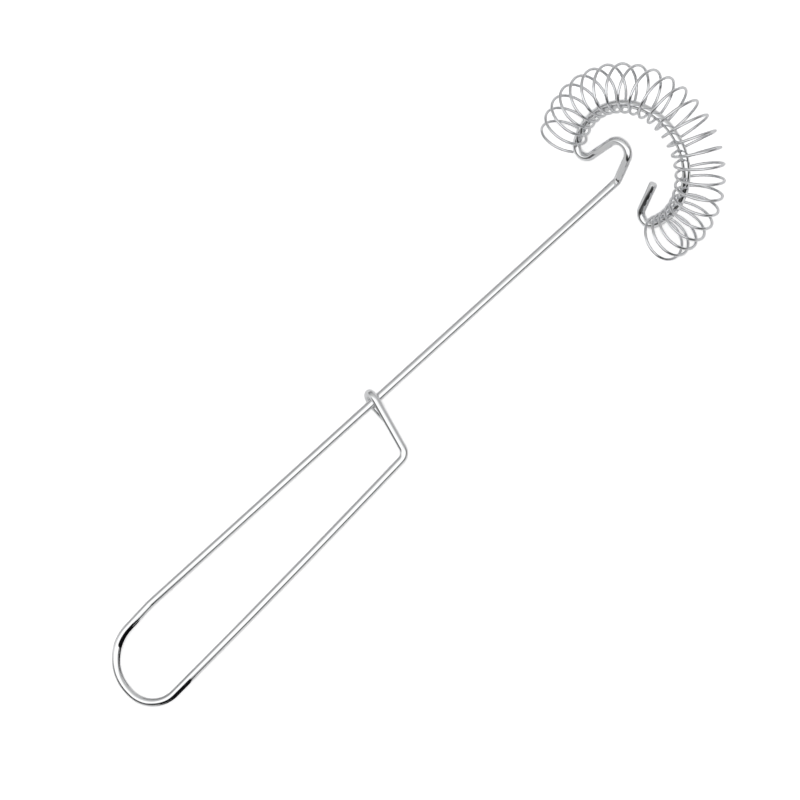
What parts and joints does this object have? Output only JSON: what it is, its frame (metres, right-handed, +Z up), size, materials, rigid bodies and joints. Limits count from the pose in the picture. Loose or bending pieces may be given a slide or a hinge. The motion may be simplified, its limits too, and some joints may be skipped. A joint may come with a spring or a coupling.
{
  "type": "spiral whisk",
  "caption": "Hand whisk of bent polished wire: long looped handle and a tilted C-shaped ring on which a spring of thin wire is threaded.",
  "frame": {"origin": "bottom centre of the whole whisk's box, as it lies on a table", "axes": "+X from the closed end of the handle to the head, +Z up off the table, +Y towards the straight side of the handle, which carries on as the shaft"},
  "size_m": [0.2468, 0.063, 0.0354],
  "materials": {
    "frame_wire": "stiff stainless wire, drawn and polished bright, with faint drawing lines along it",
    "spring_wire": "thin springy stainless wire, drawn bright, a little duller than the frame"
  },
  "bodies": {
    "frame": {"frame_wire": "frame_wire"},
    "spring": {"coil_spring": "spring_wire"}
  },
  "joints": [
    {"name": "spring_slide", "type": "hinge", "parent": "frame", "child": "spring", "pos_m": [0.09856, 0, 0.01126], "axis": [-0.6755, 0, 0.7373], "range_deg": [-4.5, 5]}
  ]
}
